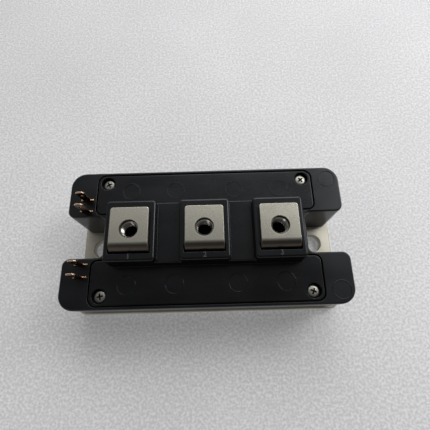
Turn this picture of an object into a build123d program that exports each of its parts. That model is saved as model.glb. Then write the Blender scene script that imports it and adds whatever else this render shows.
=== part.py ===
from build123d import *
from math import radians, sqrt, tan
import os

# A dual power module in the flat 94 x 48 mm package: a plated base plate with two mounting
# holes, an H-shaped moulded case open below, a cover with three raised terminal blocks held
# by four small screws, folded main terminals over captive M5 nuts, four push-on signal tabs
# at one end, and the circuit sealed inside.
# Millimetres and degrees. X runs along the length, Y towards the back and Z up. The origin is
# the middle of the underside of the base plate.

os.makedirs("parts", exist_ok=True)

# Base plate
plate_thickness = 3.0
plate_corner = 3.0
plate_edge_break = 0.3
hole_inset = 7.0
hole_radius = 3.25
end_ledge = 0.6
side_ledge = 0.8

# Case
case_height = 18.0
case_wall = 1.6
case_corner = 5.0
case_edge_break = 0.35
roof_thickness = 2.2
notch_width = 13.84
notch_draft = 1.4
notch_corner = 2.0
arm_corner = 2.5

# Cover, let into the top of the case
cover_thickness = 2.6
cover_gap = 0.35
cover_corner = 2.5
cover_inner_corner = 2.0
cover_throat = 1.0
cover_edge_break = 0.2
wing_length = 5.35
side_rim = 0.9
notch_rim = 0.63
ledge_width = 0.9
lip_thickness = 1.6
lip_width = 1.1

# Terminal blocks and the ridge that joins them, sized at their feet
terminal_pitch = 23.0
block_margin_x = 2.2
block_margin_y = 3.05
block_rise = 7.6
block_corner = 1.5
block_edge_break = 0.4
block_draft = 3.0
ridge_rise = 4.4
ridge_edge_round = 0.35
neck_margin = 0.25
core_wall = 1.2
core_side_wall = 2.35
core_roof = 2.0

# Main terminals, bent from strip
strap_width = 12.0
strap_thickness = 1.0
strap_length = 14.0
strap_lift = 0.4
strap_corner = 1.0
strap_edge_break = 0.15
strap_hole_radius = 2.8
fold_radius = 2.5
fold_gap = 0.2
foot_radius = 1.0
foot_end_y = -1.5
leg_width = 4.0
leg_step = 2.0
slot_clearance = 0.35

# Captive nuts, M5
nut_across_flats = 8.0
nut_height = 4.0
nut_bore_radius = 2.1
nut_face_share = 0.95
nut_corner_angle = 30.0
pocket_clearance = 0.1
well_radius = 2.8
well_depth = 5.0

# Cover screws
screw_inset_x = 3.3
screw_inset_y = 2.95
screw_head_radius = 1.75
screw_head_height = 1.1
screw_head_crown = 0.25
screw_shank_radius = 1.0
screw_length = 7.0
recess_radius = 2.35
recess_depth = 2.0
shank_clearance = 0.25
pilot_clearance = 0.05
pilot_spare = 1.0
boss_radius = 2.4
boss_web = 2.4
cross_span = 1.9
cross_width = 0.5
cross_depth = 0.7

# Signal tabs, stamped from sheet
tab_width = 2.8
tab_thickness = 0.5
tab_height = 7.5
tab_inset = 6.4
tab_wall_gap = 0.23
tab_spacing = 4.0
tab_tip = 0.6
tab_hole_radius = 0.6
tab_hole_drop = 2.6
tab_shoulder = 0.75
tab_shoulder_height = 0.6
tab_arm_depth = 2.5
tab_arm_height = 6.5
tab_leg_width = 1.4
tab_leg_inset = 1.3
tab_slot_clearance = 0.2
tab_land = 1.25

# Circuit
board_gap = 1.5
board_end_gap = 2.05
board_side_gap = 5.1
ceramic_thickness = 0.64
copper_thickness = 0.3
copper_margin = 0.85
track_gap = 1.0
emitter_track_width = 5.4
gate_track_width = 2.8
die_thickness = 0.35
transistor_width = 11.0
transistor_inset_x = 0.8
transistor_inset_y = 1.6
transistor_leg_gap = 1.2
diode_size = 8.0
diode_inset_x = 2.3
diode_inset_y = 0.45
die_gap = 1.2
wire_across_flats = 0.38
wire_rise = 2.4
wire_foot = 0.8
wire_slope = 1.2
wire_spacing = 1.25
wire_leg_gap = 0.8
gate_pad_inset = 0.8
gate_wire_offset = 3.45
sense_wire_offset = 1.85
link_inset = 1.0
transistor_wire_count = 5
diode_wire_count = 4

# Levels, from the bottom up
case_top = plate_thickness + case_height
cover_bottom = case_top - cover_thickness
lip_bottom = cover_bottom - lip_thickness
roof_bottom = case_top - roof_thickness
ridge_top = case_top + ridge_rise
block_top = case_top + block_rise
strap_bottom = block_top + strap_lift
strap_top = strap_bottom + strap_thickness
nut_bottom = strap_bottom - nut_height
ceramic_bottom = plate_thickness + copper_thickness
track_bottom = ceramic_bottom + ceramic_thickness
track_top = track_bottom + copper_thickness
die_top = track_top + die_thickness
tab_top = case_top + tab_height
tab_arm_bottom = plate_thickness + tab_arm_height
screw_seat = case_top - recess_depth

# Lengths from the middle outwards: blocks, neck, cover, then the arms that hold the tabs
block_foot_x = strap_width / 2 + block_margin_x
block_foot_y = strap_length / 2 + block_margin_y
cover_neck = terminal_pitch + block_foot_x + neck_margin
inner_neck = cover_neck + cover_gap
case_neck = inner_neck + case_wall
cover_x = cover_neck + wing_length
recess_x = cover_x + cover_gap
case_x = recess_x + tab_land + tab_slot_clearance + tab_width / 2 + tab_inset
inner_x = case_x - case_wall
plate_x = case_x + end_ledge
hole_x = plate_x - hole_inset
screw_x = cover_x - screw_inset_x
tab_x = tab_inset - case_x
core_x = terminal_pitch - strap_width - 2 * (slot_clearance + core_wall)
core_y = 2 * (block_foot_y - core_side_wall)

# The boards lie end to end between the two necks
board_length = inner_neck - board_end_gap - board_gap / 2
board_x = (board_gap + board_length) / 2
copper_x = board_length / 2 - copper_margin
emitter_track_x = copper_x - emitter_track_width
main_track_x = emitter_track_x - track_gap
transistor_right = main_track_x - transistor_inset_x
transistor_left = board_x - terminal_pitch + leg_width / 2 + transistor_leg_gap
transistor_x = (transistor_left + transistor_right) / 2
diode_x = main_track_x - diode_inset_x - diode_size / 2
emitter_x = emitter_track_x + emitter_track_width / 2

# Widths from the notches outwards: tabs, tracks, dies, board, then the side walls
case_notch = notch_width / 2
inner_notch = case_notch + case_wall
recess_notch = case_notch + notch_rim
cover_notch = recess_notch + cover_gap
tab_inner_y = inner_notch + tab_wall_gap + tab_thickness / 2
tab_outer_y = tab_inner_y + tab_spacing
gate_track_y = tab_inner_y - gate_track_width / 2
transistor_top = gate_track_y - track_gap - transistor_inset_y
transistor_y = transistor_top - transistor_width / 2
diode_y = transistor_top - transistor_width - die_gap - diode_size / 2
copper_y = diode_size / 2 + diode_inset_y - diode_y
board_width = 2 * (copper_y + copper_margin)
inner_y = board_width / 2 + board_side_gap
case_y = inner_y + case_wall
plate_y = case_y + side_ledge
recess_y = case_y - side_rim
cover_y = recess_y - cover_gap
screw_y = cover_y - screw_inset_y
strap_back = strap_length / 2
leg_y = strap_thickness / 2 - strap_back
slot_back = leg_y + strap_thickness / 2 + slot_clearance

# The rear edge of each slot is broken where the fold of the terminal passes over it
fold_inside = fold_radius - strap_thickness / 2
slot_wall_reach = fold_inside - slot_clearance
block_top_reach = fold_inside - strap_lift
slot_edge_break = fold_gap + max(
    block_top_reach - sqrt(fold_inside**2 - slot_wall_reach**2),
    slot_wall_reach - sqrt(fold_inside**2 - block_top_reach**2),
)
transistor_wire_y = foot_end_y + wire_leg_gap + (transistor_wire_count - 1) / 2 * wire_spacing
gate_pad_y = transistor_top - gate_pad_inset


def h_plan(plane, half_length, half_width, half_notch, neck, rounds):
    """An H in plan: a rectangle with a notch in each end, and its three kinds of corner round."""
    outer_round, arm_round, throat_round = rounds
    with BuildSketch(plane) as plan:
        Rectangle(2 * half_length, 2 * half_width)
        fillet(plan.vertices(), outer_round)
        with Locations((-half_length, 0), (half_length, 0)):
            Rectangle(2 * (half_length - neck), 2 * half_notch, mode=Mode.SUBTRACT)
        notch_corners = plan.vertices().filter_by(lambda v: abs(v.Y) < half_notch + throat_round / 2)
        fillet(notch_corners.filter_by(lambda v: abs(v.X) > (half_length + neck) / 2), arm_round)
        fillet(notch_corners.filter_by(lambda v: abs(v.X) < (half_length + neck) / 2), throat_round)
    return plan.sketch


def inner_plan(plane):
    """The plan of the space inside the walls of the case."""
    rounds = (case_corner - case_wall, arm_corner - case_wall, notch_corner + case_wall)
    return h_plan(plane, inner_x, inner_y, inner_notch, inner_neck, rounds)


def boss_plan(plane):
    """The four screw bosses, each with a web that joins it to the long wall."""
    web_length = case_y - case_wall / 2 - screw_y
    with BuildSketch(plane) as plan:
        with GridLocations(2 * screw_x, 2 * screw_y, 2, 2):
            Circle(boss_radius)
        with GridLocations(2 * screw_x, 2 * screw_y + web_length, 2, 2):
            Rectangle(boss_web, web_length)
    return plan.sketch


def board_plane(side, level):
    """The plane of one circuit board; the right one is the left one turned half round."""
    turn = 1 if side == "left" else -1
    return Plane(origin=(-turn * board_x, 0, level), x_dir=(turn, 0, 0), z_dir=(0, 0, 1))


# Base plate: copper plate, sawn and drilled, then nickel plated
with BuildPart() as base_plate:
    with BuildSketch():
        RectangleRounded(2 * plate_x, 2 * plate_y, plate_corner)
        with GridLocations(2 * hole_x, 0, 2, 1):
            Circle(hole_radius, mode=Mode.SUBTRACT)
    extrude(amount=plate_thickness)
    chamfer(base_plate.faces().sort_by(Axis.Z)[-1].outer_wire().edges(), plate_edge_break)
base_plate.part.label = "base_plate"
export_step(base_plate.part, "parts/base_plate.step")

# Case frame: one moulding with vertical outer walls, notches that widen upwards, hollow arms,
# a ledge for the cover and four screw bosses
with BuildPart() as case_frame:
    with BuildSketch(Plane.XY.offset(plate_thickness)):
        RectangleRounded(2 * case_x, 2 * case_y, case_corner)
    extrude(amount=case_height)
    notch_reach = 2 * (case_x - case_neck)
    for end in (-1, 1):
        mouth = Plane(origin=(end * case_x, 0, case_top), x_dir=(1, 0, 0), z_dir=(0, 0, -1))
        with BuildSketch(mouth):
            RectangleRounded(notch_reach, notch_width, notch_corner)
        extrude(amount=case_height, taper=notch_draft, mode=Mode.SUBTRACT)
    arm_edges = case_frame.edges().filter_by(
        lambda e: abs(abs(e.center().X) - case_x) < 0.01 and abs(e.center().Y) < case_notch + 0.01
    )
    fillet(arm_edges.filter_by(lambda e: e.length > case_height / 2), arm_corner)
    chamfer(case_frame.faces().sort_by(Axis.Z)[-1].outer_wire().edges(), case_edge_break)
    # Space inside the walls, then the deeper pockets in the arms
    inner = inner_plan(Plane.XY.offset(plate_thickness))
    extrude(inner, amount=lip_bottom - plate_thickness, mode=Mode.SUBTRACT)
    with BuildSketch(Plane.XY.offset(lip_bottom)):
        add(inner_plan(Plane.XY))
        Rectangle(2 * (recess_x + lip_width), 2 * case_y, mode=Mode.SUBTRACT)
    extrude(amount=roof_bottom - lip_bottom, mode=Mode.SUBTRACT)
    # Opening under the cover, with a ledge round it, and the recess that the cover lies in
    opening_rounds = (cover_corner, cover_throat, cover_throat)
    rim = Plane.XY.offset(lip_bottom)
    opening = h_plan(rim, recess_x - ledge_width, inner_y, inner_notch, inner_neck, opening_rounds)
    extrude(opening, amount=case_top - lip_bottom, mode=Mode.SUBTRACT)
    recess_rounds = (cover_corner + cover_gap, cover_inner_corner + cover_gap, cover_throat)
    seat = Plane.XY.offset(cover_bottom)
    recess = h_plan(seat, recess_x, recess_y, recess_notch, inner_neck, recess_rounds)
    extrude(recess, amount=cover_thickness, mode=Mode.SUBTRACT)
    # Bosses for the cover screws
    extrude(boss_plan(Plane.XY.offset(plate_thickness)), amount=cover_bottom - plate_thickness)
    with BuildSketch(Plane.XY.offset(cover_bottom)):
        with GridLocations(2 * screw_x, 2 * screw_y, 2, 2):
            Circle(screw_shank_radius + pilot_clearance)
    extrude(amount=cover_bottom - screw_seat - screw_length - pilot_spare, mode=Mode.SUBTRACT)
    # Slots for the signal tabs
    with BuildSketch(Plane.XY.offset(roof_bottom)):
        for tab_y in (-tab_outer_y, -tab_inner_y, tab_inner_y, tab_outer_y):
            with Locations((tab_x, tab_y)):
                Rectangle(tab_width + 2 * tab_slot_clearance, tab_thickness + 2 * tab_slot_clearance)
    extrude(amount=roof_thickness, mode=Mode.SUBTRACT)
case_frame.part.label = "case_frame"
export_step(case_frame.part, "parts/case_frame.step")

# Cover: plate, ridge and terminal blocks in one moulding
with BuildPart() as cover:
    cover_rounds = (cover_corner, cover_inner_corner, cover_throat + cover_gap)
    plate = h_plan(Plane.XY.offset(cover_bottom), cover_x, cover_y, cover_notch, cover_neck, cover_rounds)
    extrude(plate, amount=cover_thickness)
    chamfer(cover.faces().sort_by(Axis.Z)[-1].outer_wire().edges(), cover_edge_break)
    with BuildSketch(Plane.XY.offset(case_top)):
        Rectangle(2 * terminal_pitch, 2 * block_foot_y)
    extrude(amount=ridge_rise, taper=block_draft)
    fillet(cover.edges().group_by(Axis.Z)[-1].filter_by(Axis.X), ridge_edge_round)
    with BuildSketch(Plane.XY.offset(case_top)):
        with GridLocations(terminal_pitch, 0, 3, 1):
            RectangleRounded(2 * block_foot_x, 2 * block_foot_y, block_corner)
    extrude(amount=block_rise, taper=block_draft)
    chamfer(cover.faces().group_by(Axis.Z)[-1].edges(), block_edge_break)
    # Hexagon pockets for the nuts, with a well below each for the end of the screw
    with BuildSketch(Plane.XY.offset(block_top)):
        with GridLocations(terminal_pitch, 0, 3, 1):
            RegularPolygon(nut_across_flats / 2 + pocket_clearance, 6, major_radius=False)
    extrude(amount=nut_bottom - block_top, mode=Mode.SUBTRACT)
    with BuildSketch(Plane.XY.offset(nut_bottom)):
        with GridLocations(terminal_pitch, 0, 3, 1):
            Circle(well_radius)
    extrude(amount=-well_depth, mode=Mode.SUBTRACT)
    # Slots for the terminals, and the cores under the ridge that keep the walls even
    with BuildSketch(Plane.XY.offset(cover_bottom)):
        with Locations((0, leg_y)):
            with GridLocations(terminal_pitch, 0, 3, 1):
                Rectangle(strap_width + 2 * slot_clearance, strap_thickness + 2 * slot_clearance)
    extrude(amount=block_top - cover_bottom, mode=Mode.SUBTRACT)
    slot_edges = cover.edges().group_by(Axis.Z)[-1].filter_by(Axis.X)
    chamfer(slot_edges.filter_by(lambda e: abs(e.center().Y - slot_back) < 0.01), slot_edge_break)
    with BuildSketch(Plane.XY.offset(cover_bottom)):
        with GridLocations(terminal_pitch, 0, 2, 1):
            Rectangle(core_x, core_y)
    extrude(amount=ridge_top - core_roof - cover_bottom, mode=Mode.SUBTRACT)
    # Sunk holes for the screws
    with Locations(Plane.XY.offset(case_top)):
        with GridLocations(2 * screw_x, 2 * screw_y, 2, 2):
            CounterBoreHole(screw_shank_radius + shank_clearance, recess_radius, recess_depth)
cover.part.label = "cover"
export_step(cover.part, "parts/cover.step")

# Cover screws: small flat heads with a cross recess and a plain-ended thread-forming shank
for place, x_side, y_side in (
    ("back_left", -1, 1),
    ("back_right", 1, 1),
    ("front_left", -1, -1),
    ("front_right", 1, -1),
):
    screw_centre = (x_side * screw_x, y_side * screw_y, screw_seat)
    with BuildPart() as cover_screw:
        with BuildSketch(Plane(origin=screw_centre, x_dir=(1, 0, 0), z_dir=(0, -1, 0))):
            Polygon(
                (0, screw_head_height),
                (0, -screw_length),
                (screw_shank_radius, -screw_length),
                (screw_shank_radius, 0),
                (screw_head_radius, 0),
                (screw_head_radius, screw_head_height - screw_head_crown),
                (screw_head_radius - screw_head_crown, screw_head_height),
                align=None,
            )
        revolve(axis=Axis(screw_centre, (0, 0, 1)))
        head_top = (x_side * screw_x, y_side * screw_y, screw_seat + screw_head_height)
        with BuildSketch(Plane(origin=head_top, x_dir=(1, 0, 0), z_dir=(0, 0, -1))):
            Rectangle(cross_span, cross_width)
            Rectangle(cross_width, cross_span)
        extrude(amount=cross_depth, mode=Mode.SUBTRACT)
    cover_screw.part.label = "cover_screw_" + place
    export_step(cover_screw.part, "parts/cover_screw_" + place + ".step")

# Main terminals: strip bent over the nut, down through the cover and out to a soldered foot
strap_middle = (strap_bottom + strap_top) / 2
foot_middle = track_top + strap_thickness / 2
leg_top = cover_bottom - leg_step
for place, x_place, leg_x in (
    ("left", -terminal_pitch, 0.0),
    ("middle", 0.0, (leg_width - strap_width) / 2),
    ("right", terminal_pitch, 0.0),
):
    with BuildPart() as terminal:
        with BuildSketch(Plane.YZ.offset(x_place - strap_width / 2)):
            with BuildLine():
                FilletPolyline(
                    (strap_back, strap_middle),
                    (leg_y, strap_middle),
                    (leg_y, foot_middle),
                    (foot_end_y, foot_middle),
                    radius=(fold_radius, foot_radius),
                )
            trace(line_width=strap_thickness)
        extrude(amount=strap_width)
        # Sheared outline seen from the front: full width above, a narrow leg below
        with BuildSketch(Plane(origin=(x_place, -case_y, 0), x_dir=(1, 0, 0), z_dir=(0, -1, 0))):
            with Locations((0, leg_top)):
                Rectangle(strap_width, strap_top, align=(Align.CENTER, Align.MIN))
            with Locations((leg_x, 0)):
                Rectangle(leg_width, leg_top, align=(Align.CENTER, Align.MIN))
        extrude(amount=-2 * case_y, mode=Mode.INTERSECT)
        ends = terminal.edges().filter_by(Axis.Z).group_by(Axis.Y)[-1]
        fillet(ends, strap_corner)
        with Locations((x_place, 0, strap_top)):
            Hole(strap_hole_radius, 2 * strap_thickness)
        top_edges = terminal.faces().filter_by(Axis.Z).sort_by(Axis.Z)[-1].edges()
        chamfer(top_edges.sort_by(Axis.Y)[1:], strap_edge_break)
    terminal.part.label = "terminal_" + place
    export_step(terminal.part, "parts/terminal_" + place + ".step")

# Captive nuts: hexagons with the corners of the upper face turned off
for place, x_place in (("left", -terminal_pitch), ("middle", 0.0), ("right", terminal_pitch)):
    with BuildPart() as nut:
        with BuildSketch(Plane.XY.offset(nut_bottom)):
            with Locations((x_place, 0)):
                RegularPolygon(nut_across_flats / 2, 6, major_radius=False)
        extrude(amount=nut_height)
        nut_face = nut_across_flats / 2 * nut_face_share
        nut_slope = (nut_across_flats - nut_face) * tan(radians(nut_corner_angle))
        with BuildSketch(Plane(origin=(x_place, 0, nut_bottom), x_dir=(1, 0, 0), z_dir=(0, -1, 0))):
            Polygon(
                (0, 0),
                (nut_across_flats, 0),
                (nut_across_flats, nut_height - nut_slope),
                (nut_face, nut_height),
                (0, nut_height),
                align=None,
            )
        revolve(axis=Axis((x_place, 0, 0), (0, 0, 1)), mode=Mode.INTERSECT)
        with Locations((x_place, 0, strap_bottom)):
            Hole(nut_bore_radius, 2 * nut_height)
    nut.part.label = "nut_" + place
    export_step(nut.part, "parts/nut_" + place + ".step")

# Signal tabs: stamped flat, with a long arm inside that reaches the board it serves
near_leg_x = tab_leg_inset - copper_x - board_x
far_leg_x = board_x - main_track_x + tab_leg_inset
for place, y_place, leg_x in (
    ("back_outer", tab_outer_y, near_leg_x),
    ("back_inner", tab_inner_y, near_leg_x),
    ("front_inner", -tab_inner_y, far_leg_x),
    ("front_outer", -tab_outer_y, far_leg_x),
):
    with BuildPart() as tab:
        arm_start = tab_x - tab_width / 2
        arm_end = leg_x + tab_leg_width / 2
        with BuildSketch(Plane(origin=(0, y_place, 0), x_dir=(1, 0, 0), z_dir=(0, -1, 0))) as outline:
            with Locations((tab_x, tab_arm_bottom)):
                Rectangle(tab_width, tab_top - tab_arm_bottom, align=(Align.CENTER, Align.MIN))
            chamfer(outline.vertices().group_by(Axis.Y)[-1], tab_tip)
            with Locations((arm_start, tab_arm_bottom)):
                Rectangle(arm_end - arm_start, tab_arm_depth, align=Align.MIN)
            leg_length = tab_arm_bottom + tab_arm_depth - track_top
            with Locations((leg_x, track_top)):
                Rectangle(tab_leg_width, leg_length, align=(Align.CENTER, Align.MIN))
            with Locations((tab_x, case_top)):
                Rectangle(tab_width + 2 * tab_shoulder, tab_shoulder_height, align=(Align.CENTER, Align.MIN))
            with Locations((tab_x, tab_top - tab_hole_drop)):
                Circle(tab_hole_radius, mode=Mode.SUBTRACT)
        extrude(amount=tab_thickness / 2, both=True)
    tab.part.label = "tab_" + place
    export_step(tab.part, "parts/tab_" + place + ".step")

# Circuit boards: ceramic with copper on both faces, two dies on each, wires from die to track
for side in ("left", "right"):
    with BuildPart() as back_copper:
        with BuildSketch(board_plane(side, plate_thickness)):
            Rectangle(2 * copper_x, 2 * copper_y)
        extrude(amount=copper_thickness)
    back_copper.part.label = "back_copper_" + side
    export_step(back_copper.part, "parts/back_copper_" + side + ".step")

    with BuildPart() as substrate:
        with BuildSketch(board_plane(side, ceramic_bottom)):
            Rectangle(board_length, board_width)
        extrude(amount=ceramic_thickness)
    substrate.part.label = "substrate_" + side
    export_step(substrate.part, "parts/substrate_" + side + ".step")

    with BuildPart() as tracks:
        with BuildSketch(board_plane(side, track_bottom)):
            Rectangle(2 * copper_x, 2 * copper_y)
            with Locations((main_track_x, -copper_y)):
                Rectangle(track_gap, 2 * copper_y, align=Align.MIN, mode=Mode.SUBTRACT)
            for gap_y in (gate_track_y - track_gap, gate_track_y + gate_track_width):
                with Locations((-copper_x, gap_y)):
                    Rectangle(copper_x + main_track_x, track_gap, align=Align.MIN, mode=Mode.SUBTRACT)
        extrude(amount=copper_thickness)
    tracks.part.label = "tracks_" + side
    export_step(tracks.part, "parts/tracks_" + side + ".step")

    with BuildPart() as transistor_die:
        with BuildSketch(board_plane(side, track_top)):
            with Locations((transistor_x, transistor_y)):
                Rectangle(transistor_right - transistor_left, transistor_width)
        extrude(amount=die_thickness)
    transistor_die.part.label = "transistor_die_" + side
    export_step(transistor_die.part, "parts/transistor_die_" + side + ".step")

    with BuildPart() as diode_die:
        with BuildSketch(board_plane(side, track_top)):
            with Locations((diode_x, diode_y)):
                Rectangle(diode_size, diode_size)
        extrude(amount=die_thickness)
    diode_die.part.label = "diode_die_" + side
    export_step(diode_die.part, "parts/diode_die_" + side + ".step")


def bond_wire(start, end):
    """The path of one wire: a foot that lies flat, up, over, down, and a second flat foot."""
    run = Vector(end) - Vector(start)
    run = Vector(run.X, run.Y, 0).normalized()
    lift = Vector(0, 0, wire_across_flats / 2)
    first = Vector(start) + lift
    last = Vector(end) + lift
    loop_rise = Vector(0, 0, wire_rise)
    loop_drop = Vector(0, 0, first.Z + wire_rise - last.Z)
    near = wire_foot
    far = wire_foot + wire_slope
    return Polyline(
        first - run * near / 2,
        first + run * near / 2,
        first + run * far + loop_rise,
        last - run * far + loop_drop,
        last - run * near / 2,
        last + run * near / 2,
    )


# Bond wires: aluminium, drawn six-sided; one group for each board and one that links the boards
wire_groups = {}
for side, turn in (("left", 1), ("right", -1)):
    feet = []
    for count, start_x, row_y in (
        (transistor_wire_count, transistor_x, transistor_wire_y),
        (diode_wire_count, diode_x, diode_y),
    ):
        for step in range(count):
            wire_y = row_y + (step - (count - 1) / 2) * wire_spacing
            feet.append(((start_x, wire_y), (emitter_x, wire_y)))
    for offset, track_y in ((gate_wire_offset, tab_inner_y), (sense_wire_offset, tab_outer_y)):
        feet.append(((transistor_x - offset, gate_pad_y), (transistor_x - offset, track_y)))
    wire_groups["bond_wires_" + side] = [
        (
            (turn * (start[0] - board_x), turn * start[1], die_top),
            (turn * (end[0] - board_x), turn * end[1], track_top),
        )
        for start, end in feet
    ]
link_start_x = main_track_x - link_inset - board_x
link_end_x = board_x - emitter_x
link_rows = [diode_y + step * wire_spacing for step in (-1, 0, 1)]
wire_groups["link_wires"] = [
    ((link_start_x, row_y, track_top), (link_end_x, row_y, track_top)) for row_y in link_rows
]
for group_name, ends in wire_groups.items():
    with BuildPart() as wire_group:
        for start, end in ends:
            with BuildLine() as path:
                bond_wire(start, end)
            along = path.line % 0
            with BuildSketch(Plane(origin=path.line @ 0, x_dir=(along.Y, -along.X, 0), z_dir=along)):
                RegularPolygon(wire_across_flats / 2, 6, major_radius=False)
            sweep(path=path.line, transition=Transition.RIGHT)
    wire_group.part.label = group_name
    export_step(wire_group.part, "parts/" + group_name + ".step")
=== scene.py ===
import math
import bmesh
import bpy
from mathutils import Matrix, Vector


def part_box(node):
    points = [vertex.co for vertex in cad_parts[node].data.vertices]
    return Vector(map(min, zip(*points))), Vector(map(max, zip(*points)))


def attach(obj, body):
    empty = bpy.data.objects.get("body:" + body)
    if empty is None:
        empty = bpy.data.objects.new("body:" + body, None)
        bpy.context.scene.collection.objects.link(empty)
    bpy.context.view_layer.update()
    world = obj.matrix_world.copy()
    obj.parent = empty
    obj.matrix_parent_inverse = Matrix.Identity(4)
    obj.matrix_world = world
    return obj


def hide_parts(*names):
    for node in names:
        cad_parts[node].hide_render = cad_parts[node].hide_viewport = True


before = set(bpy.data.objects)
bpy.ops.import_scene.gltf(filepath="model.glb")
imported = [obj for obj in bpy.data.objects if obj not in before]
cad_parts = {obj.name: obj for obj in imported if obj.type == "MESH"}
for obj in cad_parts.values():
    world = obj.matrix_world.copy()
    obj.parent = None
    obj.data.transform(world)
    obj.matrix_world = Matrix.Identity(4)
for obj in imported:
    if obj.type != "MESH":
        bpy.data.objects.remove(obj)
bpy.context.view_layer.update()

# Base plate
# A 3 mm copper plate, cut to size, drilled at both ends and nickel plated. It carries the two circuit boards
# and closes the case from below, and its two end holes take the screws that hold the module to a heat sink.
mm = 0.001


def open_piece(piece):
    """Puts one piece alone in edit mode, with nothing on it selected."""
    bpy.ops.object.select_all(action="DESELECT")
    piece.select_set(True)
    bpy.context.view_layer.objects.active = piece
    bpy.ops.object.mode_set(mode="EDIT")
    bpy.ops.mesh.select_all(action="DESELECT")


def close_piece():
    """Back to object mode, where modifiers are applied."""
    bpy.ops.object.mode_set(mode="OBJECT")


def workpiece(name, node, middles=()):
    """A CAD node as a mesh of its own with whole flat faces, parted along X at the middle of each hole."""
    piece = bpy.data.objects.new(name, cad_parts[node].data.copy())
    bpy.context.scene.collection.objects.link(piece)
    piece.data.materials.clear()
    open_piece(piece)
    bpy.ops.mesh.select_all(action="SELECT")
    bpy.ops.mesh.customdata_custom_splitnormals_clear()
    bpy.ops.mesh.remove_doubles(threshold=0.001 * mm)
    for middle in middles:
        bpy.ops.mesh.select_all(action="SELECT")
        bpy.ops.mesh.bisect(plane_co=(middle, 0, 0), plane_no=(1, 0, 0))
        bpy.ops.mesh.mark_seam()
    bpy.ops.mesh.select_all(action="SELECT")
    bpy.ops.mesh.dissolve_limited(angle_limit=math.radians(0.2), delimit={"SEAM"})
    close_piece()
    return piece


def apply_modifier(piece, kind, settings):
    """Adds one modifier with its settings and applies it."""
    bpy.ops.object.select_all(action="DESELECT")
    piece.select_set(True)
    bpy.context.view_layer.objects.active = piece
    made = piece.modifiers.new(kind.lower(), kind)
    for key, value in settings.items():
        setattr(made, key, value)
    bpy.ops.object.modifier_apply(modifier=made.name)


sharp_turn = math.radians(28)
round_segments = 3


def break_edges(piece, widest, share_of):
    """Rounds each sharp edge. share_of gives its part of the widest round, from its middle."""
    open_piece(piece)
    mesh = bmesh.from_edit_mesh(piece.data)
    weight = mesh.edges.layers.float.new("bevel_weight_edge")
    for edge in mesh.edges:
        middle = (edge.verts[0].co + edge.verts[1].co) / 2
        edge[weight] = share_of(middle, edge) if edge.calc_face_angle(0.0) > sharp_turn else 0.0
    bmesh.update_edit_mesh(piece.data)
    close_piece()
    apply_modifier(piece, "BEVEL", {
        "limit_method": "WEIGHT", "width": widest, "segments": round_segments,
        "use_clamp_overlap": False, "miter_outer": "MITER_SHARP", "harden_normals": False})


def smooth(piece, angle=32.0):
    """Shades the rounds smooth and keeps the large faces flat."""
    bpy.ops.object.select_all(action="DESELECT")
    piece.select_set(True)
    bpy.context.view_layer.objects.active = piece
    bpy.ops.object.shade_smooth_by_angle(angle=math.radians(angle))
    apply_modifier(piece, "WEIGHTED_NORMAL", {"keep_sharp": True, "weight": 60})


def fit(piece, material, slot, *nodes):
    """Gives a finished piece its material, its body and the CAD nodes that it stands for."""
    piece.data.materials.clear()
    piece.data.materials.append(material)
    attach(piece, "root")
    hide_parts(*nodes)


class Finish:
    """A value that changes over a surface. A sum written with it adds Math nodes to its material."""

    def __init__(self, material, socket=None):
        self.material = material
        self.socket = socket

    def node(self, kind, settings=None, inputs=None, output=0):
        """Adds a node: its settings first, then the values or links of its sockets."""
        tree = self.material.node_tree
        made = tree.nodes.new(kind)
        for key, value in (settings or {}).items():
            setattr(made, key, value)
        for key, value in (inputs or {}).items():
            if isinstance(value, Finish):
                tree.links.new(value.socket, made.inputs[key])
            else:
                made.inputs[key].default_value = value
        return Finish(self.material, made.outputs[output] if made.outputs else None)

    def sum_of(self, operation, *terms):
        """One Math node over one, two or three terms."""
        return self.node("ShaderNodeMath", {"operation": operation}, dict(enumerate(terms)))

    def __add__(self, other):
        return self.sum_of("ADD", self, other)

    def __radd__(self, other):
        return self.sum_of("ADD", other, self)

    def __sub__(self, other):
        return self.sum_of("SUBTRACT", self, other)

    def __rsub__(self, other):
        return self.sum_of("SUBTRACT", other, self)

    def __mul__(self, other):
        return self.sum_of("MULTIPLY", self, other)

    def __rmul__(self, other):
        return self.sum_of("MULTIPLY", other, self)

    def axis(self, letter):
        """One coordinate of a place."""
        return self.node("ShaderNodeSeparateXYZ", {}, {"Vector": self}, "XYZ".index(letter))

    def grain(self, size, detail=2.0, stretch=(1.0, 1.0, 1.0)):
        """Soft noise from 0 to 1 whose spots are about this size, drawn out along an axis by stretch."""
        scale = tuple(mm / size / each for each in stretch)
        drawn = self.node("ShaderNodeMapping", {}, {"Vector": self, "Scale": scale})
        noise = {"Vector": drawn, "Scale": 1 / mm, "Detail": detail, "Roughness": 0.55}
        return self.node("ShaderNodeTexNoise", {}, noise)

    def rise(self, low, high):
        """0 below low, 1 above high and a smooth step between them."""
        span = {"Value": self, "From Min": low, "From Max": high}
        return self.node("ShaderNodeMapRange", {"interpolation_type": "SMOOTHSTEP"}, span)

    def tint(self, first, second):
        """The first colour where this value is 0, turning to the second where it is 1."""
        colours = {0: self, 6: first, 7: second}
        return self.node("ShaderNodeMix", {"data_type": "RGBA"}, colours, 2)

    def bump(self, height):
        """A fine relief, this value times a height in metres, for the Normal socket."""
        return self.node("ShaderNodeBump", {}, {"Height": self, "Distance": height, "Strength": 1.0})

    def surface(self, inputs):
        """Ends the material with one Principled shader."""
        shader = self.node("ShaderNodeBsdfPrincipled", {}, inputs)
        self.node("ShaderNodeOutputMaterial", {}, {"Surface": shader})
        return self.material


def new_finish(name):
    """An empty material, held by the place on the piece that its patterns are drawn from."""
    material = bpy.data.materials.new(name)
    material.use_nodes = True
    material.node_tree.nodes.clear()
    return Finish(material).node("ShaderNodeTexCoord", {}, {}, "Object")


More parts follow.
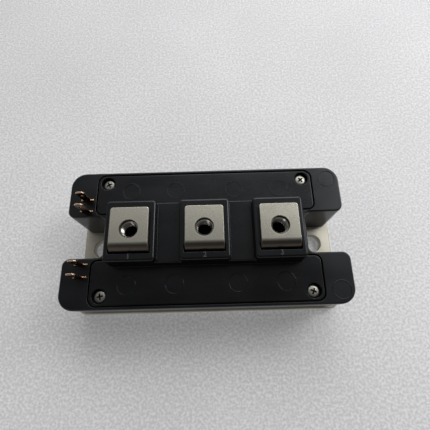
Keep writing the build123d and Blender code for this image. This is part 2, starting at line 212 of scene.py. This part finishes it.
def plated_nickel():
    """Satin nickel over copper: cloudy tone, fine rolling lines along Y, small pits and a rougher haze."""
    place = new_finish("plate_nickel_satin")
    clouds = place.grain(7 * mm, 3.0).rise(0.3, 0.7)
    rolling = place.grain(0.22 * mm, 3.0, (14.0, 1.0, 1.0))
    pits = place.grain(0.35 * mm, 2.0).rise(0.62, 0.8)
    tone = clouds * 0.6 + rolling * 0.4
    return place.surface({
        "Base Color": tone.tint((0.68, 0.66, 0.57, 1.0), (0.58, 0.55, 0.46, 1.0)),
        "Metallic": 1.0,
        "Roughness": clouds * 0.08 + rolling * 0.1 + pits * 0.12 + 0.48,
        "Normal": (rolling * 0.7 - pits).bump(0.004 * mm)})


plate_round = 0.35 * mm
hole_share = 0.8
hole_x = 40 * mm
hole_strip = 4 * mm
plate = workpiece("base_plate_plated", "base_plate", (-hole_x, hole_x))
break_edges(plate, plate_round, lambda middle, edge: hole_share if abs(middle.y) < hole_strip else 1.0)
smooth(plate)
fit(plate, plated_nickel(), "plate_nickel", "base_plate")

# Circuit boards
# Two white ceramic plates with copper on both faces, soldered to the base plate. Each carries a transistor
# die and a diode die under aluminium bond wires, and the case hides them all.


def board_copper():
    """Bare copper with a soft pink sheen, brushed grain and brown oxide spots."""
    place = new_finish("board_copper_oxidised")
    spots = place.grain(2.5 * mm, 3.0).rise(0.5, 0.7)
    brushed = place.grain(0.15 * mm, 2.0, (1.0, 10.0, 1.0))
    return place.surface({
        "Base Color": (spots * 0.7 + brushed * 0.3).tint((0.86, 0.47, 0.32, 1.0), (0.52, 0.25, 0.16, 1.0)),
        "Metallic": 1.0,
        "Roughness": brushed * 0.15 + spots * 0.15 + 0.25,
        "Normal": brushed.bump(0.002 * mm)})


def board_ceramic():
    """White alumina, slightly warm, with a fine sintered grain."""
    place = new_finish("board_ceramic_white")
    grit = place.grain(0.12 * mm, 4.0)
    warmth = place.grain(5 * mm)
    return place.surface({
        "Base Color": warmth.tint((0.84, 0.83, 0.79, 1.0), (0.76, 0.75, 0.71, 1.0)),
        "Roughness": grit * 0.2 + 0.5,
        "Normal": grit.bump(0.004 * mm)})


def die_metal():
    """The aluminium pads of a silicon die: silvery cells divided by thin dark lines."""
    place = new_finish("die_metal_cells")
    stripes = place.node("ShaderNodeTexWave", {"bands_direction": "X"}, {
        "Vector": place, "Scale": 0.24 / mm, "Distortion": 0.0}).rise(0.02, 0.12)
    haze = place.grain(0.4 * mm)
    return place.surface({
        "Base Color": stripes.tint((0.10, 0.10, 0.12, 1.0), (0.72, 0.73, 0.76, 1.0)),
        "Metallic": stripes * 0.9,
        "Roughness": haze * 0.15 + 0.25,
        "Normal": stripes.bump(0.005 * mm)})


def drawn_aluminium():
    """Soft drawn wire, dull silver with faint marks along it."""
    place = new_finish("wire_aluminium_drawn")
    marks = place.grain(0.08 * mm, 2.0, (1.0, 12.0, 1.0))
    return place.surface({
        "Base Color": marks.tint((0.78, 0.78, 0.79, 1.0), (0.62, 0.62, 0.64, 1.0)),
        "Metallic": 1.0,
        "Roughness": marks * 0.2 + 0.3,
        "Normal": marks.bump(0.002 * mm)})


board_finishes = {
    "back_copper": board_copper(),
    "substrate": board_ceramic(),
    "transistor_die": die_metal(),
    "bond_wires": drawn_aluminium()}
board_finishes["tracks"] = board_finishes["back_copper"]
board_finishes["diode_die"] = board_finishes["transistor_die"]
for kind, material in board_finishes.items():
    for side in ("left", "right"):
        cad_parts[f"{kind}_{side}"].material_slots[0].material = material
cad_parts["link_wires"].material_slots[0].material = board_finishes["bond_wires"]

# Case frame
# One black moulding of glass-filled polyester, H-shaped from above, glued to the base plate. Its edges are
# slightly rounded by the mould, and the ejector pins have left two shallow round marks on the right arms.
mould_round = 0.14 * mm
mark_radius = 2.9 * mm
mark_depth = 0.05 * mm
mark_lip = 0.17 * mm
case_mark_inset = Vector((4.2, 4.35)) * mm
tab_inset = 6.4 * mm
case_low, case_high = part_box("case_frame")


def carve(piece, tool, operation="DIFFERENCE"):
    """Cuts a tool's shape out of a piece, or joins it on, and takes the tool away."""
    apply_modifier(piece, "BOOLEAN", {"operation": operation, "solver": "EXACT", "object": tool})
    bpy.data.objects.remove(tool)


def press_mark(piece, x, y, face):
    """The print of an ejector pin: a shallow round recess and the fine raised lip round it."""
    bpy.ops.object.select_all(action="DESELECT")
    bpy.ops.mesh.primitive_cylinder_add(
        vertices=56, radius=mark_radius, depth=2 * mark_depth, location=(x, y, face))
    pin = bpy.context.object
    bpy.ops.object.transform_apply()
    carve(piece, pin)
    bpy.ops.object.select_all(action="DESELECT")
    bpy.ops.mesh.primitive_torus_add(
        major_radius=mark_radius, minor_radius=mark_lip, major_segments=56, minor_segments=12,
        location=(x, y, face - mark_lip / 3))
    lip = bpy.context.object
    bpy.ops.object.transform_apply()
    carve(piece, lip, "UNION")


case_mark_x = case_high.x - case_mark_inset.x
case_marks = [(case_mark_x, side * (case_high.y - case_mark_inset.y)) for side in (-1, 1)]
tab_middle = case_low.x + tab_inset
case = workpiece("case_frame_moulded", "case_frame", (tab_middle, case_mark_x))
for mark_x, mark_y in case_marks:
    press_mark(case, mark_x, mark_y, case_high.z)


def away_from_marks(marks, face):
    """A full round on every edge but those of the pin marks, which stay as they are."""
    def share(middle, edge):
        for mark_x, mark_y in marks:
            reach = math.hypot(middle.x - mark_x, middle.y - mark_y)
            if reach < mark_radius + 2 * mark_lip and abs(middle.z - face) < 4 * mark_depth:
                return 0.0
        return 1.0
    return share


break_edges(case, mould_round, away_from_marks(case_marks, case_high.z))
smooth(case)


def moulded_plastic(name, black, grey, roughness, top):
    """Black glass-filled plastic: satin, clouded where it flowed, with a painted highlight of lighter grey
    above its top.
    """
    place = new_finish(name)
    flow = place.grain(11 * mm, 3.0, (2.2, 1.0, 1.0)).rise(0.3, 0.72)
    fibres = place.grain(0.22 * mm, 3.0).rise(0.45, 0.75)
    texture = place.grain(0.3 * mm, 3.0)
    # painted highlight: whatever stands above the top face, such as the raised numbers, is coloured lighter
    # grey
    raised_highlight = place.axis("Z").rise(top + 0.1 * mm, top + 0.22 * mm)
    plastic = (flow * 0.7 + fibres * 0.3).tint(black, grey)
    return place.surface({
        "Base Color": raised_highlight.tint(plastic, (0.055, 0.055, 0.06, 1.0)),
        "Roughness": flow * 0.08 + texture * 0.12 + (roughness - 0.1),
        "Specular IOR Level": 0.4,
        "Specular Tint": (0.93, 0.965, 1.0, 1.0),
        "Normal": texture.bump(0.003 * mm)})


case_plastic = moulded_plastic(
    "case_plastic_black", (0.002, 0.002, 0.0025, 1.0), (0.008, 0.008, 0.009, 1.0), 0.31, case_high.z)
fit(case, case_plastic, "case_plastic", "case_frame")

# Signal tabs
# Four push-on tabs, 2.8 by 0.5 mm, punched from bronze strip and pushed down into the left arms. They have
# gone coppery brown with age, and a painted highlight lies on their outline, shoulders and chamfered tips.
tab_round = 0.12 * mm
tab_half = 1.4 * mm
tab_tip = 0.6 * mm
tab_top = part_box("tab_back_outer")[1].z
tab_slant = tab_half - tab_tip + tab_top
highlight_edge = 0.14 * mm
shoulder_low = case_high.z + 0.5 * mm
shoulder_high = case_high.z + 1.1 * mm


def aged_bronze():
    """Bronze strip, gone dark brown, with a painted highlight on its outline and shoulders, scratched up and
    down.
    """
    place = new_finish("tab_bronze_aged")
    height = place.axis("Z")
    aside = place.sum_of("ABSOLUTE", place.axis("X") - tab_middle)
    scratches = place.grain(0.12 * mm, 3.0, (1.0, 1.0, 12.0))
    stain = place.grain(1.2 * mm, 3.0).rise(0.35, 0.65)
    # painted highlight: a pale band along each tab's sides, slants and tip, and over the shoulders just
    # above the case
    side = aside.rise(tab_half - highlight_edge, tab_half - highlight_edge / 4)
    slant = (aside + height).rise(tab_slant - highlight_edge, tab_slant - highlight_edge / 4)
    tip = height.rise(tab_top - highlight_edge, tab_top - highlight_edge / 4)
    shoulder = 1.0 - height.rise(shoulder_low, shoulder_high)
    outline_highlight = place.sum_of("MAXIMUM", side, place.sum_of("MAXIMUM", slant, tip))
    tab_highlight = place.sum_of("MAXIMUM", outline_highlight * 0.9, shoulder)
    aged_brown = stain.tint((0.15, 0.10, 0.065, 1.0), (0.075, 0.05, 0.034, 1.0))
    return place.surface({
        "Base Color": tab_highlight.tint(aged_brown, (0.78, 0.54, 0.40, 1.0)),
        "Metallic": 1.0,
        "Roughness": scratches * 0.12 + stain * 0.06 + 0.17,
        "Normal": scratches.bump(0.003 * mm)})


tab_bronze = aged_bronze()
for corner in ("back_outer", "back_inner", "front_inner", "front_outer"):
    tab = workpiece(f"tab_{corner}_worn", f"tab_{corner}")
    break_edges(tab, tab_round, lambda middle, edge: 1.0)
    smooth(tab)
    fit(tab, tab_bronze, "tab_metal", f"tab_{corner}")

# Cover
# A black moulded lid let into the top of the case, with a ridge and three raised blocks that hold the nuts
# and guide the terminals. It has eight ejector marks, and a raised number in front of each terminal.
cover_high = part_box("cover")[1]
deck = case_high.z
block_round = 0.3 * mm
mark_inset_y = 6.1 * mm
mark_columns = (10.0 * mm, 25.2 * mm)
number_size = 2.2 * mm
number_rise = 0.22 * mm
number_edge = 0.08 * mm
block_front = 9.65 * mm
neck_x = 31.2 * mm
neck_reach = 0.4 * mm
neck_y = 12 * mm
neck_rise = 0.5 * mm
rim_drop = 0.6 * mm
pocket_x = 7 * mm
pocket_y = 8.6 * mm
terminal_row = ("left", "middle", "right")


def middle_x(node):
    """The X of the middle of a CAD node."""
    low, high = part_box(node)
    return (low.x + high.x) / 2


block_middles = [middle_x(f"nut_{seat}") for seat in terminal_row]
outer_holes = (*mark_columns, middle_x("cover_screw_front_right"))
cover_holes = block_middles + [side * x for side in (-1, 1) for x in outer_holes]
cover = workpiece("cover_moulded", "cover", cover_holes)
cover_marks = [(side_x * column, side_y * (cover_high.y - mark_inset_y))
               for side_x in (-1, 1) for column in mark_columns for side_y in (-1, 1)]
for mark_x, mark_y in cover_marks:
    press_mark(cover, mark_x, mark_y, deck)
plain_edges = away_from_marks(cover_marks, deck)


def cover_share(middle, edge):
    """Full rounds on the rims of the blocks, none on the narrow strips beside them, small ones elsewhere."""
    across = min(abs(middle.x - block_x) for block_x in block_middles)
    beside_neck = abs(abs(middle.x) - neck_x) < neck_reach and abs(middle.y) < neck_y
    if beside_neck and middle.z < deck + neck_rise:
        return 0.0
    if middle.z > cover_high.z - rim_drop and (across > pocket_x or abs(middle.y) > pocket_y):
        return 1.0
    return plain_edges(middle, edge) * mould_round / block_round


break_edges(cover, block_round, cover_share)


def raised_number(piece, figure, x, y, face):
    """Joins one plain raised figure to a level face, its foot sunk into it."""
    bpy.ops.object.select_all(action="DESELECT")
    bpy.ops.object.text_add(location=(x, y, face))
    text = bpy.context.object
    text.data.body = figure
    text.data.size = number_size
    text.data.align_x = "CENTER"
    text.data.align_y = "CENTER"
    text.data.extrude = number_rise
    text.data.bevel_depth = number_edge
    text.data.resolution_u = 4
    bpy.ops.object.convert(target="MESH")
    bpy.ops.object.transform_apply()
    open_piece(text)
    bpy.ops.mesh.select_all(action="SELECT")
    bpy.ops.mesh.remove_doubles(threshold=0.001 * mm)
    bpy.ops.mesh.normals_make_consistent(inside=False)
    close_piece()
    text.select_set(True)
    piece.select_set(True)
    bpy.context.view_layer.objects.active = piece
    bpy.ops.object.join()


number_y = (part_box("terminal_middle")[0].y - block_front) / 2
for number, block_x in enumerate(block_middles, 1):
    raised_number(cover, str(number), block_x, number_y, cover_high.z)
smooth(cover)
# the cover's finish paints a highlight on the raised numbers that stand above its top
cover_plastic = moulded_plastic(
    "cover_plastic_black", (0.0015, 0.0015, 0.002, 1.0), (0.005, 0.005, 0.0055, 1.0), 0.28, cover_high.z)
fit(cover, cover_plastic, "cover_plastic", "cover")

# Captive nuts
# Three plain steel M5 nuts, zinc plated, lying loose in the hexagonal pockets under the terminals. They have
# chamfered corners, a countersink at each end of the bore and a real 0.8 mm pitch thread.
nut_pitch = 0.8 * mm
nut_thread_depth = 0.4 * mm
nut_low, nut_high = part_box("nut_middle")
nut_flats = nut_high.y - nut_low.y
nut_bore = 2.1 * mm
nut_face = nut_flats / 2 * 0.95
chamfer_slope = math.tan(math.radians(30))
sink_margin = 0.04 * mm
tap_overlap = 0.02 * mm


def drawn_profile(name, points):
    """A chain of points in the XZ plane, drawn from a single point by extruding it along."""
    bpy.ops.object.select_all(action="DESELECT")
    bpy.ops.mesh.primitive_plane_add(size=mm)
    piece = bpy.context.object
    piece.name = name
    bpy.ops.object.mode_set(mode="EDIT")
    bpy.ops.mesh.merge(type="CENTER")
    steps = [Vector((x, 0, z)) for x, z in points]
    bpy.ops.transform.translate(value=steps[0])
    for here, there in zip(steps, steps[1:]):
        bpy.ops.mesh.extrude_vertices_move(TRANSFORM_OT_translate={"value": there - here})
    close_piece()
    return piece


def turned(name, points, steps):
    """A solid turned round the Z axis from a profile whose two ends lie on that axis."""
    piece = drawn_profile(name, points)
    open_piece(piece)
    bpy.ops.mesh.select_all(action="SELECT")
    bpy.ops.mesh.spin(steps=steps, angle=2 * math.pi, center=(0, 0, 0), axis=(0, 0, 1))
    bpy.ops.mesh.select_all(action="SELECT")
    bpy.ops.mesh.remove_doubles(threshold=0.001 * mm)
    bpy.ops.mesh.normals_make_consistent(inside=False)
    close_piece()
    return piece


def threaded_rod(name, root, crest, pitch, start, turns, steps=30):
    """A closed rod with a helical V thread, from start upwards along the Z axis."""
    flank = [(root, 0.0), (root, pitch / 8), (crest, pitch / 2), (crest, pitch * 5 / 8), (root, pitch)]
    piece = drawn_profile(name, [(x, start + z) for x, z in flank])
    apply_modifier(piece, "SCREW", {
        "axis": "Z", "angle": 2 * math.pi, "screw_offset": pitch, "iterations": turns, "steps": steps,
        "render_steps": steps, "use_merge_vertices": True, "merge_threshold": 0.001 * mm})
    open_piece(piece)
    bpy.ops.mesh.select_all(action="SELECT")
    bpy.ops.mesh.remove_doubles(threshold=0.001 * mm)
    bpy.ops.mesh.fill_holes(sides=0)
    bpy.ops.mesh.select_all(action="DESELECT")
    bpy.ops.mesh.select_face_by_sides(number=4, type="GREATER")
    bpy.ops.mesh.poke()
    bpy.ops.mesh.select_all(action="SELECT")
    bpy.ops.mesh.normals_make_consistent(inside=False)
    close_piece()
    return piece


def cut_nut():
    """A hexagon bar, its corners turned off at both ends, countersunk, then tapped."""
    low, high = nut_low.z, nut_high.z
    corner = nut_flats / math.sqrt(3)
    bpy.ops.object.select_all(action="DESELECT")
    bpy.ops.mesh.primitive_cylinder_add(
        vertices=6, radius=corner, depth=high - low, location=(0, 0, (low + high) / 2),
        rotation=(0, 0, math.radians(30)))
    nut = bpy.context.object
    bpy.ops.object.transform_apply()
    drop = (corner - nut_face) * chamfer_slope
    barrel = turned("barrel", [
        (0, low), (nut_face, low), (corner, low + drop),
        (corner, high - drop), (nut_face, high), (0, high)], 72)
    carve(nut, barrel, "INTERSECT")
    crest = nut_bore + nut_thread_depth
    sink = crest + sink_margin
    spool = turned("spool", [
        (0, low - mm), (sink + mm, low - mm), (nut_bore, low + sink - nut_bore),
        (nut_bore, high - sink + nut_bore), (sink + mm, high + mm), (0, high + mm)], 60)
    carve(nut, spool)
    turns = math.ceil((high - low) / nut_pitch) + 3
    start = low - 1.5 * nut_pitch
    tap = threaded_rod("tap", nut_bore - tap_overlap, crest, nut_pitch, start, turns)
    carve(nut, tap)
    return nut


nut_pattern = cut_nut()


def copied(pattern, name, location, turn=0.0):
    """One more of a repeated piece, with its own mesh, moved and turned into its place."""
    bpy.ops.object.select_all(action="DESELECT")
    piece = pattern.copy()
    piece.data = pattern.data.copy()
    piece.name = name
    bpy.context.scene.collection.objects.link(piece)
    piece.location = location
    piece.rotation_euler.z = math.radians(turn)
    piece.select_set(True)
    bpy.context.view_layer.objects.active = piece
    bpy.ops.object.transform_apply(location=True, rotation=True, scale=True)
    return piece


def zinc_steel():
    """Zinc-plated steel, cool and bright, with a faint spangle."""
    place = new_finish("nut_zinc_bright")
    spangle = place.grain(0.5 * mm, 3.0)
    return place.surface({
        "Base Color": spangle.tint((0.48, 0.47, 0.43, 1.0), (0.35, 0.34, 0.31, 1.0)),
        "Metallic": 1.0,
        "Roughness": spangle * 0.12 + 0.15,
        "Normal": spangle.bump(0.003 * mm)})


nut_zinc = zinc_steel()
smooth(nut_pattern, 25.0)
for seat, block_x in zip(terminal_row, block_middles):
    nut = copied(nut_pattern, f"nut_{seat}_threaded", (block_x, 0, 0))
    fit(nut, nut_zinc, "nut_steel", f"nut_{seat}")
bpy.data.objects.remove(nut_pattern)

# Main terminals
# Three copper straps, punched, bent into a foot on the circuit board and nickel plated. Each is folded over
# its nut once that lies in its pocket. The fold, the cut edges and the rim of the hole carry painted shade,
# the cut edges are rougher, and the plating darkens a little towards the front.
strap_round = 0.07 * mm
strap_cut = 0.3 * mm
strap_hole = 2.8 * mm
strap_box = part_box("terminal_middle")
strap_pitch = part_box("terminal_right")[0].x - strap_box[0].x
fold_start = -4.0 * mm
fold_end = -5.2 * mm
shown_from = 20 * mm
hidden_share = 0.6


def strap_nickel():
    """Satin nickel, rolled across the strap, with painted shade on the fold, the cut edges and the rim of
    the hole.
    """
    place = new_finish("terminal_nickel_rolled")
    clouds = place.grain(4 * mm, 3.0).rise(0.3, 0.7)
    rolling = place.grain(0.16 * mm, 3.0, (16.0, 1.0, 1.0))
    # painted shade: the fold is tinted dark brown for the dark room that it reflects
    fold_shade = 1.0 - place.axis("Y").rise(fold_end, fold_start)
    wrapped = place.sum_of("WRAP", place.axis("X"), strap_pitch / 2, -strap_pitch / 2)
    across = place.sum_of("ABSOLUTE", wrapped)
    # painted shade: the cut sides, the back edge and the rim of the hole are tinted dark so that they show
    # no light
    cut_side = across.rise(strap_box[1].x - strap_cut, strap_box[1].x)
    cut_back = place.axis("Y").rise(strap_box[1].y - strap_cut, strap_box[1].y)
    reach = place.sum_of("SQRT", across * across + place.axis("Y") * place.axis("Y"))
    cut_hole = 1.0 - reach.rise(strap_hole + strap_round, strap_hole + strap_cut)
    cut_edge_shade = place.sum_of("MAXIMUM", cut_hole, place.sum_of("MAXIMUM", cut_side, cut_back))
    front = 1.0 - place.axis("Y").rise(fold_start, strap_box[1].y)
    shade = place.sum_of("MAXIMUM", fold_shade, place.sum_of("MAXIMUM", cut_edge_shade, front * 0.16))
    nickel = (clouds * 0.6 + rolling * 0.4).tint((0.73, 0.71, 0.62, 1.0), (0.62, 0.60, 0.50, 1.0))
    return place.surface({
        "Base Color": shade.tint(nickel, (0.125, 0.105, 0.088, 1.0)),
        "Metallic": 1.0,
        "Roughness": rolling * 0.06 + clouds * 0.05 + fold_shade * 0.1 + cut_edge_shade * 0.5 + 0.22,
        "Normal": rolling.bump(0.002 * mm)})


terminal_nickel = strap_nickel()
for seat in terminal_row:
    strap = workpiece(f"terminal_{seat}_plated", f"terminal_{seat}", [middle_x(f"terminal_{seat}")])
    break_edges(strap, strap_round, lambda middle, edge: 1.0 if middle.z > shown_from else hidden_share)
    smooth(strap)
    fit(strap, terminal_nickel, "terminal_nickel", f"terminal_{seat}")

# Cover screws
# Four small nickel-plated tapping screws with pan heads and a cross recess. They stand in round recesses at
# the corners of the cover, each stopped at its own angle, and their threads bite into the case.
screw_low, screw_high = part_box("cover_screw_front_left")
head_radius = (screw_high.x - screw_low.x) / 2
screw_axis = [abs(low + high) / 2 for low, high in zip(screw_low.xy, screw_high.xy)]
head_height = 1.1 * mm
head_crown = 0.2 * mm
head_wall = 0.1 * mm
head_chamfer = 0.08 * mm
screw_root = 0.72 * mm
screw_crest = 1.0 * mm
screw_pitch = 0.75 * mm
cross_length = 2.3 * mm
cross_width = 0.62 * mm
cross_depth = 0.95 * mm
cross_taper = 0.8
screw_angles = {"back_left": 28.0, "back_right": 40.0, "front_left": 12.0, "front_right": -22.0}


def formed_screw():
    """A pan head turned from its profile, a threaded shank joined on, and the two slots of the cross cut."""
    seat = screw_high.z - head_height
    rim = screw_high.z - head_crown - head_wall
    arc = [(head_radius * math.sin(math.radians(a)),
            rim + (screw_high.z - rim) * math.cos(math.radians(a))) for a in range(80, -1, -10)]
    foot = [(0, seat), (head_radius - head_chamfer, seat), (head_radius, seat + head_chamfer)]
    head = turned("screw", [*foot, (head_radius, rim), *arc[:-1], (0, screw_high.z)], 56)
    turns = int((seat - screw_low.z) / screw_pitch)
    shank = threaded_rod("shank", screw_root, screw_crest, screw_pitch, screw_low.z, turns, 24)
    carve(head, shank, "UNION")
    for turn in (0, 90):
        bpy.ops.object.select_all(action="DESELECT")
        bpy.ops.mesh.primitive_cube_add(size=1, location=(0, 0, screw_high.z))
        slot = bpy.context.object
        slot.scale = (cross_length, cross_width, 2 * cross_depth)
        slot.rotation_euler.z = math.radians(turn)
        bpy.ops.object.transform_apply(location=True, rotation=True, scale=True)
        open_piece(slot)
        mesh = bmesh.from_edit_mesh(slot.data)
        for each in mesh.faces:
            each.select_set(each.normal.z < -0.5)
        bmesh.update_edit_mesh(slot.data)
        bpy.ops.transform.resize(value=(cross_taper, cross_taper, 1.0))
        close_piece()
        carve(head, slot)
    return head


def screw_nickel():
    """Bright barrel-plated nickel, a little grey, with handling marks and painted shade in the cross recess.
    """
    place = new_finish("screw_nickel_dull")
    marks = place.grain(0.3 * mm, 3.0)
    off_x = place.sum_of("ABSOLUTE", place.axis("X")) - screw_axis[0]
    off_y = place.sum_of("ABSOLUTE", place.axis("Y")) - screw_axis[1]
    reach = place.sum_of("SQRT", off_x * off_x + off_y * off_y)
    inside = 1.0 - reach.rise(0.66 * head_radius, 0.74 * head_radius)
    # painted shade: the cross recess, in the middle of the head and below its top, is coloured near black
    recess_shade = inside * (1.0 - place.axis("Z").rise(screw_high.z - 0.5 * mm, screw_high.z - 0.2 * mm))
    nickel = marks.tint((0.50, 0.49, 0.43, 1.0), (0.37, 0.36, 0.32, 1.0))
    return place.surface({
        "Base Color": recess_shade.tint(nickel, (0.05, 0.045, 0.04, 1.0)),
        "Metallic": 1.0,
        "Roughness": marks * 0.15 + recess_shade * 0.2 + 0.32,
        "Normal": marks.bump(0.004 * mm)})


screw_finish = screw_nickel()
screw_pattern = formed_screw()
smooth(screw_pattern, 30.0)
for corner, angle in screw_angles.items():
    screw_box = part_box(f"cover_screw_{corner}")
    middle = (screw_box[0] + screw_box[1]) / 2
    screw = copied(screw_pattern, f"cover_screw_{corner}_formed", (middle.x, middle.y, 0), angle)
    fit(screw, screw_finish, "screw_nickel", f"cover_screw_{corner}")
bpy.data.objects.remove(screw_pattern)

# Floor
# A plain pale grey bench top with a fine speckled grain, on which the module lies flat. Seen directly or in
# metal it gives a little light of its own, so that the shadow on it stays soft.
bpy.ops.object.select_all(action="DESELECT")
bpy.ops.mesh.primitive_plane_add(size=3.0, location=(0, 0, 0))
floor = bpy.context.object
floor.name = "bench_top"
bench_glow = 0.25
place = new_finish("bench_grey_speckled")
speckle = place.grain(0.9 * mm, 6.0)
drift = place.grain(60 * mm)
specks = (speckle * 0.85 + drift * 0.15).rise(0.39, 0.65)
stone = specks.tint((0.555, 0.555, 0.565, 1.0), (0.742, 0.742, 0.752, 1.0))
seen = place.node("ShaderNodeLightPath", {}, {}, "Is Camera Ray")
mirrored = place.node("ShaderNodeLightPath", {}, {}, "Is Glossy Ray")
floor.data.materials.append(place.surface({
    "Base Color": stone,
    "Roughness": 0.6,
    "Emission Color": place.sum_of("MAXIMUM", seen, mirrored).tint((0.0, 0.0, 0.0, 1.0), stone),
    "Emission Strength": bench_glow,
    "Normal": speckle.bump(0.04 * mm)}))

# Studio light
# A plain room, darker overhead and in front, with a large soft lamp behind, one to the right and a weak one
# at the front left. Past the floor the camera sees a plain backdrop.
room_overhead = 0.42
room_front = 0.11
room_back = 1.5
room_floor_level = 0.6
room_backdrop = 0.72
lamps = {
    "lamp_behind": ((0.08, 0.62, 0.52), 0.50, 2.0),
    "lamp_right": ((0.36, 0.21, 0.36), 0.25, 1.1),
    "lamp_front": ((-0.45, -0.50, 0.30), 0.30, 0.3)}
room = bpy.data.worlds.new("pale_room")
room.use_nodes = True
room.node_tree.nodes.clear()
facing = Finish(room).node("ShaderNodeTexCoord", {}, {}, "Generated")
behind = facing.axis("Y").rise(-0.02, 0.3)
far_behind = facing.axis("Y").rise(0.48, 0.9)
low = 1.0 - facing.axis("Z").rise(0.05, 0.45)
level = (behind * (room_overhead - room_front) + far_behind * (room_back - room_overhead)
         + low * (1.0 - behind) * room_floor_level + room_front)
backdrop = facing.node("ShaderNodeLightPath", {}, {}, "Is Camera Ray")
strength = (1.0 - backdrop) * level + backdrop * room_backdrop
walls = facing.node("ShaderNodeBackground", {}, {"Strength": strength})
walls.node("ShaderNodeOutputWorld", {}, {"Surface": walls})
bpy.context.scene.world = room
for name, (lamp_place, size, power) in lamps.items():
    lamp = bpy.data.lights.new(name, "AREA")
    lamp.shape = "SQUARE"
    lamp.size = size
    lamp.energy = power
    soft_box = bpy.data.objects.new(name, lamp)
    soft_box.location = lamp_place
    soft_box.rotation_mode = "QUATERNION"
    soft_box.rotation_quaternion = (-Vector(lamp_place)).to_track_quat("-Z", "Y")
    bpy.context.scene.collection.objects.link(soft_box)

# Camera
# It looks down on the module from above its front edge, with the place, tilt and field of view that the
# photograph was taken with.
camera_place = Vector((3.5936, -26.6485, 121.1427)) * mm
camera_right = Vector((0.999607536, -0.025585649, -0.011408226))
camera_up = Vector((0.02787613, 0.948801823, 0.314639513))
camera_data = bpy.data.cameras.new("camera")
camera_data.sensor_width = 36.0
camera_data.lens = 26.3173
camera_data.clip_start = 0.005
camera_data.clip_end = 20.0
camera = bpy.data.objects.new("camera", camera_data)
bpy.context.scene.collection.objects.link(camera)
camera_back = camera_right.cross(camera_up)
camera.matrix_world = Matrix((
    (camera_right.x, camera_up.x, camera_back.x, camera_place.x),
    (camera_right.y, camera_up.y, camera_back.y, camera_place.y),
    (camera_right.z, camera_up.z, camera_back.z, camera_place.z),
    (0, 0, 0, 1)))
bpy.context.scene.camera = camera
bpy.context.scene.view_settings.view_transform = "Standard"
